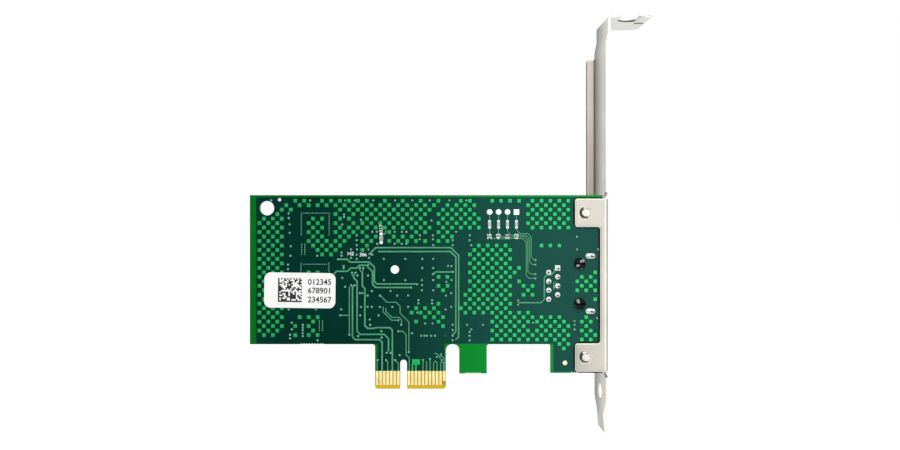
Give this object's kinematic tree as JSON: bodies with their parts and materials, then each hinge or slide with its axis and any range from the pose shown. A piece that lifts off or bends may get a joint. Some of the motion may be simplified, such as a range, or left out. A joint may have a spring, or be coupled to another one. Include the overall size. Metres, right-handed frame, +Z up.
{
  "type": "network interface card",
  "caption": "Gigabit network interface card: green circuit board with a gold edge connector, full-height steel bracket and one shielded network jack.",
  "frame": {"origin": "on the board's middle plane, at the centre of the key notch and the bottom edge of the contact tongue, which is the datum that the slot uses", "axes": "+X out of the computer through the bracket, +Y from the solder side to the component side, +Z up and away from the slot"},
  "size_m": [0.1136, 0.019, 0.12],
  "materials": {
    "laminate": "glossy green solder mask over glass-epoxy laminate",
    "masked_copper": "copper under green solder mask",
    "gold_plating": "hard gold over nickel",
    "bracket_steel": "nickel-plated steel sheet, satin",
    "screw_steel": "zinc-plated steel",
    "shield_steel": "tinned sheet",
    "housing_plastic": "moulded black thermoplastic",
    "solder": "bright solder",
    "label_paper": "white label stock, satin",
    "mould_compound": "black epoxy mould compound, fine matt",
    "tinned_leads": "matt tin plating",
    "crystal_steel": "nickel-plated can",
    "ferrite": "pressed ferrite, matt",
    "can_aluminium": "drawn aluminium can",
    "capacitor_ceramic": "fired tan ceramic with tinned ends",
    "resistor_ceramic": "black glaze over alumina, tinned ends"
  },
  "bodies": {
    "root": {"circuit_board": "laminate", "copper_squares": "masked_copper", "edge_contacts_solder_side": "gold_plating", "edge_contacts_component_side": "gold_plating", "mounting_bracket": "bracket_steel", "bracket_screws": "screw_steel", "jack_shield": "shield_steel", "jack_housing": "housing_plastic", "jack_contacts": "gold_plating", "jack_solder_joints": "solder", "header_solder": "solder", "ground_plug": "solder", "id_label": "label_paper", "controller_package": "mould_compound", "controller_pads": "tinned_leads", "magnetics_module": "mould_compound", "magnetics_leads": "tinned_leads", "flash_memory": "mould_compound", "flash_leads": "tinned_leads", "regulator": "mould_compound", "regulator_leads": "tinned_leads", "crystal_base": "housing_plastic", "crystal_can": "crystal_steel", "power_inductor": "ferrite", "capacitor_cans": "can_aluminium", "capacitor_bases": "housing_plastic", "chip_capacitors": "capacitor_ceramic", "chip_resistors": "resistor_ceramic"}
  },
  "joints": []
}
